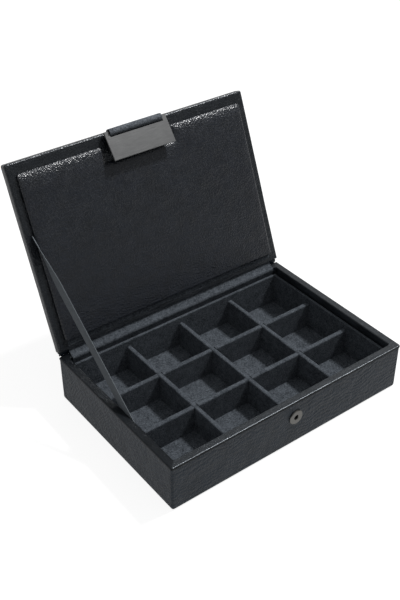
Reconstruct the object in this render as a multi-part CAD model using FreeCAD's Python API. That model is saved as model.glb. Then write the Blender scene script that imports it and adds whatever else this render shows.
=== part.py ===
"""Cufflink box with a hinged lid: a leather-covered case, a velvet tray of
twelve compartments, a padded lid held open by a ribbon, and a metal plate
that hangs from a velvet loop and snaps onto the front.

Millimetres, +Z up. The origin is the middle of the underside. X runs along
the width, -Y is the front. The lid is stored open.
"""
import FreeCAD, Part
import os
from math import acos, atan2, cos, degrees, hypot, radians, sin, tan

V = FreeCAD.Vector

# Materials
leather = 0.9
wall_board = 3.2
bottom_board = 2.4
velvet = 0.9
ribbon_thickness = 0.5

# Case
case_width = 180.0
case_depth = 122.0
rim_height = 34.0
corner_radius = 1.6
bottom_edge_radius = 2.0
turn_under = 11.5
underside_gap = 0.5
underside_step = 0.1
underside_corner_radius = 3.0

# Rim trim
rim_step = 0.3
rim_flange = 1.4
rim_groove = 0.3
rim_outer_radius = 0.8
rim_inner_bevel = 0.5
rim_inner_corner_radius = 1.5
rim_skin_depth = 12.0

# Tray
liner_board = 2.0
liner_floor = 2.2
liner_drop = 5.5
liner_clearance = 0.1
liner_edge_radius = 0.7
columns = 4
rows = 3
divider_thickness = 3.2
divider_drop = 9.8
divider_edge_radius = 1.0
divider_slot_clearance = 0.1
divider_end_clearance = 0.05

# Lid
lid_side_step = 0.5
lid_thickness = 6.4
lid_gap = 0.3
lid_top_radius = 0.8
lid_inner_bevel = 0.4
lid_border = 12.0
open_angle = 112.0
hinge_rise = 2.5
spine_step = 0.05

# Padded panel inside the lid
panel_side_margin = 5.2
panel_hinge_margin = 6.8
panel_front_margin = 7.1
panel_corner_radius = 2.0
panel_core_radius = 0.6
panel_board = 1.2
panel_foam = 0.9
panel_cover = 0.6
panel_edge_radius = 0.9
notch_width = 51.4
notch_depth = 10.1

# Hinge band and spine
band_side_gap = 2.0
band_side_clearance = 0.05
band_bend_radius = 0.45
band_end_gap = 0.15
spine_thickness = 0.8
spine_free_length = 5.2
spine_fold_radius = 0.8
spine_clearance = 0.05

# Stay ribbon
ribbon_width = 10.0
ribbon_lid_reach = 75.5
ribbon_foot_y = -15.0
ribbon_clearance = 0.1
ribbon_wall_gap = 0.05

# Closure plate and its strap, set a little to the right of the middle
closure_x = 1.5
plate_width = 46.7
plate_height = 19.1
plate_thickness = 1.4
plate_corner_radius = 0.4
plate_bar_bevel = 0.3
plate_arm = 3.35
plate_bar = 2.0
plate_slot = 2.15
plate_tilt = 17.0
plate_press = 11.0
loop_inner_radius = 1.4
loop_outer_radius = 2.3
strap_thickness = 1.4
strap_side_clearance = 0.3
strap_running_gap = 0.3
strap_axis_rise = 0.4
strap_tail_length = 14.0
bar_rise = 2.6
bar_reach = 0.2

# Snap fastener
socket_radius = 5.0
socket_rise = 1.0
socket_bevel = 0.35
socket_bore_radius = 1.6
socket_tube_wall = 0.45
socket_flare = 0.7
magnet_radius = 4.2
magnet_thickness = 2.0
washer_radius = 4.5
washer_thickness = 0.5
washer_recess = 0.9
snap_clearance = 0.1
stud_radius = 4.2
stud_base = 2.0
stud_pin_length = 0.9
stud_pin_radius = 1.2
stud_shank_radius = 0.8
stud_shank_length = 0.8
stud_tip_bevel = 0.4
stud_bevel = 0.3
stud_drop = 11.9

# Tolerances for finding edges, and how far a cutting block runs past what it cuts
same_place = 1e-4
shortest_upright = 0.5
cut_over = 2.0

# Derived case sizes
half_width = case_width / 2
half_depth = case_depth / 2
wall = wall_board + 2 * leather
inner_x = half_width - wall
inner_y = half_depth - wall
board_outer_x = half_width - leather
board_outer_y = half_depth - leather
board_inner_x = board_outer_x - wall_board
board_inner_y = board_outer_y - wall_board
board_top = rim_height - leather
wrap_top = rim_height - rim_flange - rim_groove
floor_base = leather + bottom_board
tray_base = floor_base + liner_floor
liner_top = rim_height - liner_drop
divider_top = rim_height - divider_drop
liner_outer_x = inner_x - liner_clearance
liner_outer_y = inner_y - liner_clearance
liner_inner_x = liner_outer_x - liner_board
liner_inner_y = liner_outer_y - liner_board
column_pitch = (2 * liner_inner_x + divider_thickness) / columns
row_pitch = (2 * liner_inner_y + divider_thickness) / rows
short_divider_x = [(i + 1 - columns / 2) * column_pitch for i in range(columns - 1)]
long_divider_y = [(i + 1 - rows / 2) * row_pitch for i in range(rows - 1)]

# Derived lid sizes, for the closed lid
lid_width = case_width - 2 * lid_side_step
lid_inner_z = rim_height + lid_gap
lid_top_z = lid_inner_z + lid_thickness
lid_rear_y = half_depth - leather
lid_front_y = -half_depth
hinge_y = half_depth - spine_step
hinge_z = rim_height + hinge_rise
band_end_x = inner_x - band_side_gap
band_half = band_end_x - band_side_clearance
panel_thickness = panel_board + panel_foam + panel_cover
panel_half_width = lid_width / 2 - panel_side_margin
panel_rear_y = half_depth - panel_hinge_margin
panel_front_y = lid_front_y + panel_front_margin
panel_face_z = lid_inner_z - panel_thickness

# The strap folds about an axis just outside the lid's front edge.
# Positions beside the lid are kept as a reach forward of the lid's front
# edge and a drop below its inner face.
strap_width = plate_width - 2 * plate_arm - 2 * strap_side_clearance
strap_half = strap_width / 2
strap_axis_y = lid_front_y - strap_thickness / 2 - strap_running_gap
strap_axis_z = lid_inner_z + strap_axis_rise
bar_y = lid_front_y - bar_reach
bar_z = lid_inner_z - bar_rise
strap_turn = 90.0 - (plate_tilt - plate_press)


def turned(y, z, centre_y, centre_z, angle):
    """The point (y, z) turned about X by angle degrees, +Y towards +Z."""
    a = radians(angle)
    dy, dz = y - centre_y, z - centre_z
    return centre_y + dy * cos(a) - dz * sin(a), centre_z + dy * sin(a) + dz * cos(a)


# The snap sits below the bar's place when the lid is shut and the strap has folded outwards.
snap_z = turned(bar_y, bar_z, strap_axis_y, strap_axis_z, -strap_turn)[1] - stud_drop


def block(x0, x1, y0, y1, z0, z1):
    return Part.makeBox(x1 - x0, y1 - y0, z1 - z0, V(x0, y0, z0))


def cylinder_y(radius, y0, y1, x, z):
    return Part.makeCylinder(radius, y1 - y0, V(x, y0, z), V(0, 1, 0))


def ring_y(radius, hole, y0, y1):
    """A flat ring round the snap's centre line."""
    return cylinder_y(radius, y0, y1, closure_x, snap_z).cut(
        cylinder_y(hole, y0, y1, closure_x, snap_z)
    )


def edges_where(shape, test):
    return [e for e in shape.Edges if test(e)]


def is_vertical(edge):
    low, high = edge.BoundBox.ZMin, edge.BoundBox.ZMax
    return high - low > shortest_upright and edge.BoundBox.DiagonalLength - (high - low) < same_place


def lies_at_z(z):
    return lambda edge: max(abs(edge.BoundBox.ZMin - z), abs(edge.BoundBox.ZMax - z)) < same_place


def slab(half_x, half_y, z0, z1, radius):
    """A flat block centred on Z with rounded upright edges."""
    shape = block(-half_x, half_x, -half_y, half_y, z0, z1)
    return shape.makeFillet(radius, edges_where(shape, is_vertical))


def prism_xy(points, z0, z1):
    wire = Part.makePolygon([V(x, y, z0) for x, y in points + points[:1]])
    return Part.Face(wire).extrude(V(0, 0, z1 - z0))


def revolved_y(profile, x, z):
    """Turns a closed (radius, y) outline about the Y line through (x, z)."""
    wire = Part.makePolygon([V(x + r, y, z) for r, y in profile + profile[:1]])
    return Part.Face(wire).revolve(V(x, 0, z), V(0, 1, 0), 360)


def rounded_path(points, radius, x):
    """An open wire in the plane at x through (y, z) points, its corners arcs of one radius."""
    edges = []
    here = V(x, *points[0])
    for before, corner, after in zip(points, points[1:], points[2:]):
        c = V(x, *corner)
        to_before = (V(x, *before) - c).normalize()
        to_after = (V(x, *after) - c).normalize()
        half_turn = acos(max(-1.0, min(1.0, to_before.dot(to_after)))) / 2
        run = radius / tan(half_turn)
        bisector = (to_before + to_after).normalize()
        middle = c + bisector * (radius / sin(half_turn) - radius)
        start = c + to_before * run
        end = c + to_after * run
        edges.append(Part.makeLine(here, start))
        edges.append(Part.Arc(start, middle, end).toShape())
        here = end
    edges.append(Part.makeLine(here, V(x, *points[-1])))
    return Part.Wire(edges)


def folded_sheet(points, radius, thickness, half):
    """A sheet of even thickness across the width that follows a path in the YZ plane."""
    wire = rounded_path(points, radius, -half)
    face = wire.makeOffset2D(thickness, 0, True, True)
    return face.extrude(V(2 * half, 0, 0))


def save(name, shape):
    shape.exportStep("parts/" + name + ".step")


def opened(shape):
    """Swings a piece drawn on the shut lid to the open lid."""
    return shape.rotated(V(0, hinge_y, hinge_z), V(1, 0, 0), -open_angle)


def opened_point(y, z):
    return turned(y, z, hinge_y, hinge_z, -open_angle)


def front_wedge():
    """Everything in front of the mitre lines at the two front corners."""
    return prism_xy(
        [
            (-half_width - cut_over, -half_depth - cut_over),
            (half_width + cut_over, -half_depth - cut_over),
            (half_width - half_depth, 0),
            (half_depth - half_width, 0),
        ],
        -cut_over,
        rim_height + cut_over,
    )


def side_block(side):
    """The half of space on one side of the middle, up to the rear cover."""
    near, far = sorted((0.0, side * case_width))
    return block(near, far, -case_depth, board_outer_y, -rim_height, 2 * rim_height)


def wrap_ring():
    """The leather round the case walls, turned under the bottom."""
    outer = slab(half_width, half_depth, 0, wrap_top, corner_radius)
    outer = outer.makeFillet(bottom_edge_radius, edges_where(outer, lies_at_z(0)))
    core = slab(board_outer_x, board_outer_y, leather, wrap_top, corner_radius - leather)
    window = block(
        -half_width + turn_under, half_width - turn_under,
        -half_depth + turn_under, half_depth - turn_under,
        0, leather,
    )
    return outer.cut(core).cut(window)


def rear_flap():
    """The part of the rear cover that is turned under the bottom."""
    return block(
        -half_width + turn_under, half_width - turn_under,
        half_depth - turn_under, board_outer_y, 0, leather,
    )


def build_wraps():
    ring = wrap_ring()
    wedge = front_wedge()
    socket_hole = cylinder_y(
        magnet_radius + snap_clearance, -half_depth, -board_outer_y, closure_x, snap_z
    )
    save("front_wrap", ring.common(wedge).cut(socket_hole))
    for name, side in (("left_wrap", -1), ("right_wrap", 1)):
        save(name, ring.cut(wedge).cut(rear_flap()).common(side_block(side)))
    rear = ring.common(block(-half_width, half_width, board_outer_y, half_depth, 0, rim_height))
    neck = block(
        -half_width + corner_radius, half_width - corner_radius,
        board_outer_y, half_depth, wrap_top, hinge_z - spine_free_length / 2 - spine_clearance,
    )
    save("rear_cover", rear.fuse(rear_flap()).fuse(neck).removeSplitter())


def build_boards():
    for name, face in (("front_wall_board", -1), ("rear_wall_board", 1)):
        y0, y1 = sorted((face * board_outer_y, face * board_inner_y))
        plank = block(-board_outer_x, board_outer_x, y0, y1, leather, board_top)
        corners = edges_where(
            plank,
            lambda e: is_vertical(e) and abs(e.BoundBox.YMin - face * board_outer_y) < same_place,
        )
        plank = plank.makeFillet(corner_radius - leather, corners)
        if name == "front_wall_board":
            plank = plank.cut(snap_pocket())
        save(name, plank)
    for name, side in (("left_wall_board", -1), ("right_wall_board", 1)):
        x0, x1 = sorted((side * board_outer_x, side * board_inner_x))
        save(name, block(x0, x1, -board_inner_y, board_inner_y, leather, board_top))
    save(
        "bottom_board",
        block(-board_inner_x, board_inner_x, -board_inner_y, board_inner_y, leather, floor_base),
    )
    sheet_x = half_width - turn_under - underside_gap
    sheet_y = half_depth - turn_under - underside_gap
    save(
        "underside_sheet",
        slab(sheet_x, sheet_y, underside_step, leather, underside_corner_radius),
    )


def snap_pocket():
    """The stepped hole through the front board for the snap socket."""
    face = -board_outer_y
    pocket_end = face + magnet_thickness - leather + snap_clearance
    pocket = cylinder_y(magnet_radius + snap_clearance, face, pocket_end, closure_x, snap_z)
    tube = socket_bore_radius + socket_tube_wall + snap_clearance
    bore = cylinder_y(tube, face, -board_inner_y, closure_x, snap_z)
    recess_y = -board_inner_y - washer_recess
    recess = cylinder_y(washer_radius + snap_clearance, recess_y, -board_inner_y, closure_x, snap_z)
    return pocket.fuse(bore).fuse(recess)


def rim_ring():
    """The leather trim over the wall tops: a short lip outside, a long skin inside."""
    low = rim_height - rim_skin_depth
    outer = slab(half_width + rim_step, half_depth + rim_step, low, rim_height, corner_radius)
    hole = slab(inner_x, inner_y, low, rim_height, rim_inner_corner_radius)
    ring = outer.cut(hole)
    at_top = lies_at_z(rim_height)
    outer_edges = edges_where(ring, lambda e: at_top(e) and not within(e, inner_x, inner_y))
    ring = ring.makeFillet(rim_outer_radius, outer_edges)
    inner_edges = edges_where(ring, lambda e: at_top(e) and within(e, inner_x, inner_y))
    ring = ring.makeChamfer(rim_inner_bevel, inner_edges)
    board_space = slab(board_outer_x, board_outer_y, low, board_top, corner_radius - leather).cut(
        block(-board_inner_x, board_inner_x, -board_inner_y, board_inner_y, low, board_top)
    )
    below_lip = slab(case_width, case_depth, low, rim_height - rim_flange, corner_radius).cut(
        slab(board_outer_x, board_outer_y, low, rim_height - rim_flange, corner_radius - leather)
    )
    return ring.cut(board_space).cut(below_lip)


def within(edge, half_x, half_y):
    """Whether an edge lies inside a rectangle about the middle, or on its sides."""
    box = edge.BoundBox
    return (
        max(abs(box.XMin), abs(box.XMax)) < half_x + same_place
        and max(abs(box.YMin), abs(box.YMax)) < half_y + same_place
    )


def build_rim():
    ring = rim_ring()
    wedge = front_wedge()
    rear_gap = block(-band_end_x, band_end_x, 0, case_depth, 0, rim_height)
    save("rim_trim_front", ring.common(wedge))
    for name, side in (("rim_trim_left", -1), ("rim_trim_right", 1)):
        save(name, ring.cut(wedge).cut(rear_gap).common(side_block(side)))


def build_liner():
    save(
        "liner_floor",
        block(-liner_outer_x, liner_outer_x, -liner_outer_y, liner_outer_y, floor_base, tray_base),
    )
    corners = slab(liner_outer_x, liner_outer_y, tray_base, liner_top, rim_inner_corner_radius)
    for name, face in (("liner_front_wall", -1), ("liner_rear_wall", 1)):
        y0, y1 = sorted((face * liner_outer_y, face * liner_inner_y))
        plank = block(-liner_outer_x, liner_outer_x, y0, y1, tray_base, liner_top)
        save(name, rounded_top(plank, liner_edge_radius).common(corners))
    for name, side in (("liner_left_wall", -1), ("liner_right_wall", 1)):
        x0, x1 = sorted((side * liner_outer_x, side * liner_inner_x))
        plank = block(x0, x1, -liner_inner_y, liner_inner_y, tray_base, liner_top)
        save(name, rounded_top(plank, liner_edge_radius))


def rounded_top(plank, radius):
    """Rounds the two long top edges of a thin upright board."""
    top = plank.BoundBox.ZMax
    longest = max(plank.BoundBox.XLength, plank.BoundBox.YLength)
    long_edges = edges_where(plank, lambda e: lies_at_z(top)(e) and e.Length > longest - same_place)
    return plank.makeFillet(radius, long_edges)


def build_dividers():
    half = divider_thickness / 2
    slot_half = half + divider_slot_clearance
    lap = (tray_base + divider_top) / 2
    reach_x = liner_inner_x - divider_end_clearance
    reach_y = liner_inner_y - divider_end_clearance
    for name, y in zip(("long_divider_front", "long_divider_rear"), long_divider_y):
        plank = rounded_top(
            block(-reach_x, reach_x, y - half, y + half, tray_base, divider_top), divider_edge_radius
        )
        for x in short_divider_x:
            plank = plank.cut(block(x - slot_half, x + slot_half, y - half, y + half, lap, divider_top))
        save(name, plank)
    names = ("short_divider_left", "short_divider_middle", "short_divider_right")
    for name, x in zip(names, short_divider_x):
        plank = rounded_top(
            block(x - half, x + half, -reach_y, reach_y, tray_base, divider_top), divider_edge_radius
        )
        for y in long_divider_y:
            plank = plank.cut(block(x - half, x + half, y - slot_half, y + slot_half, tray_base, lap))
        save(name, plank)


def build_snap_socket():
    face = -half_depth
    tube = socket_bore_radius + socket_tube_wall
    washer_y = -board_inner_y - washer_recess
    flare_y = washer_y + washer_thickness
    tail_y = flare_y + socket_tube_wall - snap_clearance
    profile = [
        (socket_bore_radius, face - socket_rise + socket_bevel),
        (socket_bore_radius + socket_bevel, face - socket_rise),
        (socket_radius - socket_bevel, face - socket_rise),
        (socket_radius, face - socket_rise + socket_bevel),
        (socket_radius, face),
        (tube, face),
        (tube, flare_y),
        (tube + socket_flare, flare_y),
        (tube + socket_flare, tail_y),
        (socket_bore_radius, tail_y),
    ]
    save("snap_socket", revolved_y(profile, closure_x, snap_z))
    hole = tube + snap_clearance
    save("snap_magnet", ring_y(magnet_radius, hole, face, face + magnet_thickness))
    save("snap_washer", ring_y(washer_radius, hole, washer_y, flare_y))


def build_lid_shell():
    half = lid_width / 2
    shell = block(-half, half, lid_front_y, lid_rear_y, lid_inner_z, lid_top_z)
    front_corners = edges_where(
        shell, lambda e: is_vertical(e) and abs(e.BoundBox.YMin - lid_front_y) < same_place
    )
    shell = shell.makeFillet(corner_radius, front_corners)
    not_rear = lambda e: e.BoundBox.YMin < lid_rear_y - same_place
    shell = shell.makeFillet(
        lid_top_radius, edges_where(shell, lambda e: lies_at_z(lid_top_z)(e) and not_rear(e))
    )
    shell = shell.makeChamfer(
        lid_inner_bevel, edges_where(shell, lambda e: lies_at_z(lid_inner_z)(e) and not_rear(e))
    )
    board_half = half - leather
    board_z0 = lid_inner_z + leather
    board_z1 = lid_top_z - leather
    board_y0 = lid_front_y + leather
    cavity = block(-board_half, board_half, board_y0, lid_rear_y, board_z0, board_z1)
    card_half = half - lid_border
    card_y0 = lid_front_y + lid_border
    window = block(-card_half, card_half, card_y0, lid_rear_y, lid_inner_z, board_z0)
    band_seat = block(-band_end_x, band_end_x, panel_rear_y, lid_rear_y, lid_inner_z, board_z0)
    tail_seat = block(
        closure_x - strap_half, closure_x + strap_half,
        lid_front_y, lid_front_y + strap_tail_length, lid_inner_z, board_z0,
    )
    save("lid_wrap", opened(shell.cut(cavity).cut(window).cut(band_seat).cut(tail_seat)))
    save("lid_board", opened(cavity))
    card = block(-card_half, card_half, card_y0, panel_rear_y, lid_inner_z, board_z0)
    save("lid_lining_card", opened(card.cut(tail_seat)))
    save("strap_tail", opened(tail_seat))


def panel_outline(inset, radius, z0, z1):
    """The panel's outline with its front notch, drawn in by an even inset."""
    half = panel_half_width - inset
    y0 = panel_front_y + inset
    y1 = panel_rear_y - inset
    shape = block(-half, half, y0, y1, z0, z1)
    notch_half = notch_width / 2 + inset
    shape = shape.cut(block(-notch_half, notch_half, y0, panel_front_y + notch_depth + inset, z0, z1))
    return shape.makeFillet(radius, edges_where(shape, is_vertical))


def build_panel():
    board_z0 = lid_inner_z - panel_board
    foam_z0 = board_z0 - panel_foam
    save("panel_board", opened(panel_outline(panel_cover, panel_core_radius, board_z0, lid_inner_z)))
    save("panel_foam", opened(panel_outline(panel_cover, panel_core_radius, foam_z0, board_z0)))
    cover = panel_outline(0, panel_corner_radius, panel_face_z, lid_inner_z)
    cover = cover.makeFillet(panel_edge_radius, edges_where(cover, lies_at_z(panel_face_z)))
    core = panel_outline(panel_cover, panel_core_radius, foam_z0, lid_inner_z)
    save("panel_cover", opened(cover.cut(core)))


def build_hinge():
    fold_y = board_outer_y - velvet - band_end_gap
    leaf_end = opened_point(panel_rear_y + spine_clearance, lid_inner_z)
    lid_edge = opened_point(lid_rear_y, lid_inner_z)
    slope = (leaf_end[1] - lid_edge[1]) / (leaf_end[0] - lid_edge[0])
    crease = (fold_y, lid_edge[1] + slope * (fold_y - lid_edge[0]))
    path = [
        (inner_y, rim_height - rim_skin_depth),
        (inner_y, rim_height),
        (fold_y, rim_height),
        crease,
        leaf_end,
    ]
    save("hinge_band", folded_sheet(path, band_bend_radius, velvet, band_half))
    free = spine_free_length / 2
    lower = (hinge_y, hinge_z - free)
    upper = opened_point(hinge_y, hinge_z + free)
    path = [lower, (hinge_y, hinge_z), upper]
    save("spine_leather", folded_sheet(path, spine_fold_radius, spine_thickness, lid_width / 2))


def build_lid_rear_edge():
    """The strip of the rear cover that is glued over the lid's rear edge."""
    strip = block(
        -lid_width / 2, lid_width / 2, lid_rear_y, half_depth,
        hinge_z + spine_free_length / 2 + spine_clearance, lid_top_z,
    )
    top = edges_where(
        strip, lambda e: lies_at_z(lid_top_z)(e) and abs(e.BoundBox.YMin - half_depth) < same_place
    )
    save("lid_rear_strip", opened(strip.makeFillet(lid_top_radius, top)))


def build_ribbon():
    """A strip beside the left wall, from the lid's inner face to the top of the liner."""
    top = opened_point(half_depth - ribbon_lid_reach, lid_inner_z)
    foot = (ribbon_foot_y, liner_top + ribbon_clearance)
    run = hypot(top[0] - foot[0], top[1] - foot[1])
    along = ((top[0] - foot[0]) / run, (top[1] - foot[1]) / run)
    across = (-along[1] * ribbon_width / 2, along[0] * ribbon_width / 2)
    over = ribbon_width
    x = ribbon_wall_gap - inner_x
    ends = [
        (foot[0] - along[0] * over, foot[1] - along[1] * over),
        (top[0] + along[0] * over, top[1] + along[1] * over),
    ]
    corners = [
        V(x, ends[0][0] - across[0], ends[0][1] - across[1]),
        V(x, ends[1][0] - across[0], ends[1][1] - across[1]),
        V(x, ends[1][0] + across[0], ends[1][1] + across[1]),
        V(x, ends[0][0] + across[0], ends[0][1] + across[1]),
    ]
    strip = Part.Face(Part.makePolygon(corners + corners[:1])).extrude(V(ribbon_thickness, 0, 0))
    below = block(-half_width, 0, -case_depth, case_depth, -case_depth, foot[1])
    beyond_lid = opened(block(-half_width, 0, -case_depth, case_depth, lid_inner_z, 3 * lid_top_z))
    save("stay_ribbon", strip.cut(below).cut(beyond_lid))


def tilted(shape):
    """Turns a piece drawn on an upright plate to the tilt it rests at beside the lid."""
    return opened(shape.rotated(V(0, bar_y, bar_z), V(1, 0, 0), 90.0 - plate_tilt))


def build_plate():
    """Drawn hanging straight down from its bar, its face to the front."""
    half = plate_width / 2
    half_t = plate_thickness / 2
    top = bar_z + plate_bar / 2
    x = closure_x
    sheet = block(x - half, x + half, bar_y - half_t, bar_y + half_t, top - plate_height, top)
    corners = edges_where(sheet, lambda e: abs(e.Length - plate_thickness) < same_place)
    sheet = sheet.makeFillet(plate_corner_radius, corners)
    slot_half = half - plate_arm
    slot = block(
        x - slot_half, x + slot_half, bar_y - half_t, bar_y + half_t,
        top - plate_bar - plate_slot, top - plate_bar,
    )
    sheet = sheet.cut(slot)
    bar_edges = edges_where(
        sheet,
        lambda e: e.Length > 2 * slot_half - same_place
        and (lies_at_z(top)(e) or lies_at_z(top - plate_bar)(e)),
    )
    sheet = sheet.makeChamfer(plate_bar_bevel, bar_edges)
    stud_z = bar_z - stud_drop
    back = bar_y + half_t
    save("closure_plate", tilted(sheet))
    base_end = back + stud_base
    shank_end = base_end - stud_shank_length
    tip = base_end + stud_pin_length
    base_profile = [
        (0, back),
        (stud_radius, back),
        (stud_radius, base_end - stud_bevel),
        (stud_radius - stud_bevel, base_end),
        (stud_shank_radius, base_end),
        (stud_shank_radius, shank_end),
        (0, shank_end),
    ]
    pin_profile = [
        (0, shank_end),
        (stud_shank_radius, shank_end),
        (stud_shank_radius, base_end),
        (stud_pin_radius, base_end),
        (stud_pin_radius, tip - stud_tip_bevel),
        (stud_pin_radius - stud_tip_bevel, tip),
        (0, tip),
    ]
    save("stud_base", tilted(revolved_y(base_profile, x, stud_z)))
    save("stud_pin", tilted(revolved_y(pin_profile, x, stud_z)))


def build_strap():
    """The folded velvet: an eye round the plate's bar and a web to the fold at the lid."""
    x0 = closure_x - strap_half
    x1 = closure_x + strap_half
    start = V(x0, bar_y, bar_z)
    along_x = V(1, 0, 0)
    eye = Part.makeCylinder(loop_outer_radius, strap_width, start, along_x)
    hollow = Part.makeCylinder(loop_inner_radius, strap_width, start, along_x)
    knuckle = Part.makeCylinder(
        strap_thickness / 2, strap_width, V(x0, strap_axis_y, strap_axis_z), along_x
    )
    run = hypot(bar_y - strap_axis_y, bar_z - strap_axis_z)
    web = block(x0, x1, -strap_thickness / 2, strap_thickness / 2, 0, run)
    turn = degrees(atan2(bar_y - strap_axis_y, bar_z - strap_axis_z))
    web = web.rotated(V(0, 0, 0), along_x, -turn)
    web.translate(V(0, strap_axis_y, strap_axis_z))
    loop = eye.fuse(web).fuse(knuckle).cut(hollow).removeSplitter()
    save("strap_loop", opened(loop))


def main():
    os.makedirs("parts", exist_ok=True)
    build_wraps()
    build_boards()
    build_rim()
    build_liner()
    build_dividers()
    build_snap_socket()
    build_lid_shell()
    build_lid_rear_edge()
    build_panel()
    build_hinge()
    build_ribbon()
    build_plate()
    build_strap()


main()
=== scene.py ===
"""Cufflink box in navy leather with a velvet tray: the finish of every surface, the padded
lid panel, the leather of the lid, the velvet folds and the ribbon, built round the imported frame."""
import math

import bmesh
import bpy
import numpy as np
from mathutils import Matrix, Vector, noise


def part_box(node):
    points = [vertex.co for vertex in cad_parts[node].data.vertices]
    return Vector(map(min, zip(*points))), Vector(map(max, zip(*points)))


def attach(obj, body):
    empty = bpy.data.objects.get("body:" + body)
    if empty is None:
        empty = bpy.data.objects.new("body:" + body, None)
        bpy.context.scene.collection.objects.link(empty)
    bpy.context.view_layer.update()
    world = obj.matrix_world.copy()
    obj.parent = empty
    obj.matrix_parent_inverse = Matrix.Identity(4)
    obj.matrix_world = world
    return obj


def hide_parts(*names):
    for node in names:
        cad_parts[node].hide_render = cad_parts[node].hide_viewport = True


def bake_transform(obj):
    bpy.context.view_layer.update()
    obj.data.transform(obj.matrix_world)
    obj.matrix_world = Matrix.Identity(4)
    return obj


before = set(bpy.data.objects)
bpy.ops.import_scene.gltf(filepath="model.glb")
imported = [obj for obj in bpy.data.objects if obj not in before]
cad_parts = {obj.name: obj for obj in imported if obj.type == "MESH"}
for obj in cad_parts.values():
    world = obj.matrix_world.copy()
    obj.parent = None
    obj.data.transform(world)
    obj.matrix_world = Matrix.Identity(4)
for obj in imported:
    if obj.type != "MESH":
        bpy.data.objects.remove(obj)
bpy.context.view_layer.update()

MM = 0.001

# ---------------------------------------------------------------- the box's own measures, mm
HINGE_Y, HINGE_Z = 60.95, 36.5
OPEN_ANGLE = math.radians(112.0)
LID_INNER_Z = 34.3
PANEL_HALF_WIDTH, PANEL_FRONT_Y, PANEL_REAR_Y = 84.3, -53.9, 54.2
PANEL_THICKNESS = 2.7
NOTCH_X0, NOTCH_X1, NOTCH_Y = -24.2, 27.2, -43.8
RIBBON_LID_Y = -14.5


def opened(x, y, z):
    """A point drawn on the shut lid, in mm, carried to the open lid, in metres."""
    c, s = math.cos(-OPEN_ANGLE), math.sin(-OPEN_ANGLE)
    dy, dz = y - HINGE_Y, z - HINGE_Z
    return Vector((x, HINGE_Y + dy * c - dz * s, HINGE_Z + dy * s + dz * c)) * MM


def dye(r, g, b):
    """A colour as the eye reads it, 0 to 255, as a shader colour."""
    def linear(v):
        v /= 255.0
        return v / 12.92 if v <= 0.04045 else ((v + 0.055) / 1.055) ** 2.4
    return (linear(r), linear(g), linear(b), 1.0)


# ---------------------------------------------------------------- shader nodes
class Nodes:
    """A node tree, and short ways to add nodes to it and wire them."""

    def __init__(self, tree):
        self.tree = tree

    def feed(self, socket, value):
        if isinstance(value, bpy.types.NodeSocket):
            self.tree.links.new(value, socket)
        else:
            socket.default_value = value

    def node(self, kind, inputs=None, **settings):
        made = self.tree.nodes.new(kind)
        for key, value in settings.items():
            setattr(made, key, value)
        for key, value in (inputs or {}).items():
            self.feed(made.inputs[key], value)
        return made

    def maths(self, operation, *values):
        made = self.node("ShaderNodeMath", operation=operation)
        for socket, value in zip(made.inputs, values):
            self.feed(socket, value)
        return made.outputs["Value"]

    def ramp(self, value, low, high, to_low=0.0, to_high=1.0, smooth=False):
        return self.node("ShaderNodeMapRange", {
            "Value": value, "From Min": low, "From Max": high, "To Min": to_low, "To Max": to_high,
        }, interpolation_type="SMOOTHSTEP" if smooth else "LINEAR").outputs["Result"]

    def parts(self, vector):
        return self.node("ShaderNodeSeparateXYZ", {"Vector": vector}).outputs


class Finish(Nodes):
    """One finish: a material's principled shader and the patterns that feed it."""

    SOCKETS = {
        "base": "Base Color", "rough": "Roughness", "metal": "Metallic", "normal": "Normal",
        "specular": "Specular IOR Level", "tint": "Specular Tint", "sheen": "Sheen Weight",
        "sheen_rough": "Sheen Roughness", "sheen_tint": "Sheen Tint", "coat": "Coat Weight",
        "coat_rough": "Coat Roughness", "coat_normal": "Coat Normal", "glow_colour": "Emission Color",
        "glow": "Emission Strength",
    }

    def __init__(self, name):
        self.material = bpy.data.materials.new(name)
        self.material.use_nodes = True
        super().__init__(self.material.node_tree)
        self.shader = self.tree.nodes["Principled BSDF"]

    def set(self, **inputs):
        for key, value in inputs.items():
            self.feed(self.shader.inputs[self.SOCKETS[key]], value)

    def place(self, scale=(1, 1, 1), turn=(0, 0, 0), attribute=None):
        """Where a point lies on the piece: in space, or on the length and width that attribute holds."""
        if attribute:
            source = self.node("ShaderNodeUVMap", uv_map=attribute).outputs["UV"]
        else:
            source = self.node("ShaderNodeTexCoord").outputs["Object"]
        inputs = {"Vector": source, "Scale": scale, "Rotation": turn}
        return self.node("ShaderNodeMapping", inputs).outputs["Vector"]

    def noise(self, where, scale, detail=3.0, roughness=0.55, distortion=0.0):
        return self.node("ShaderNodeTexNoise", {
            "Vector": where, "Scale": scale, "Detail": detail, "Roughness": roughness,
            "Distortion": distortion,
        }).outputs["Fac"]

    def waves(self, where, scale, distortion, detail, direction, detail_scale=1.0):
        return self.node("ShaderNodeTexWave", {
            "Vector": where, "Scale": scale, "Distortion": distortion, "Detail": detail,
            "Detail Scale": detail_scale,
        }, wave_type="BANDS", bands_direction=direction).outputs["Fac"]

    def blend(self, factor, a, b):
        made = self.node("ShaderNodeMix", data_type="RGBA")
        for socket, value in zip((made.inputs[0], made.inputs[6], made.inputs[7]), (factor, a, b)):
            self.feed(socket, value)
        return made.outputs[2]

    def relief(self, height, depth, under=None):
        inputs = {"Height": height, "Distance": depth, "Strength": 1.0}
        if under is not None:
            inputs["Normal"] = under
        return self.node("ShaderNodeBump", inputs).outputs["Normal"]


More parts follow.
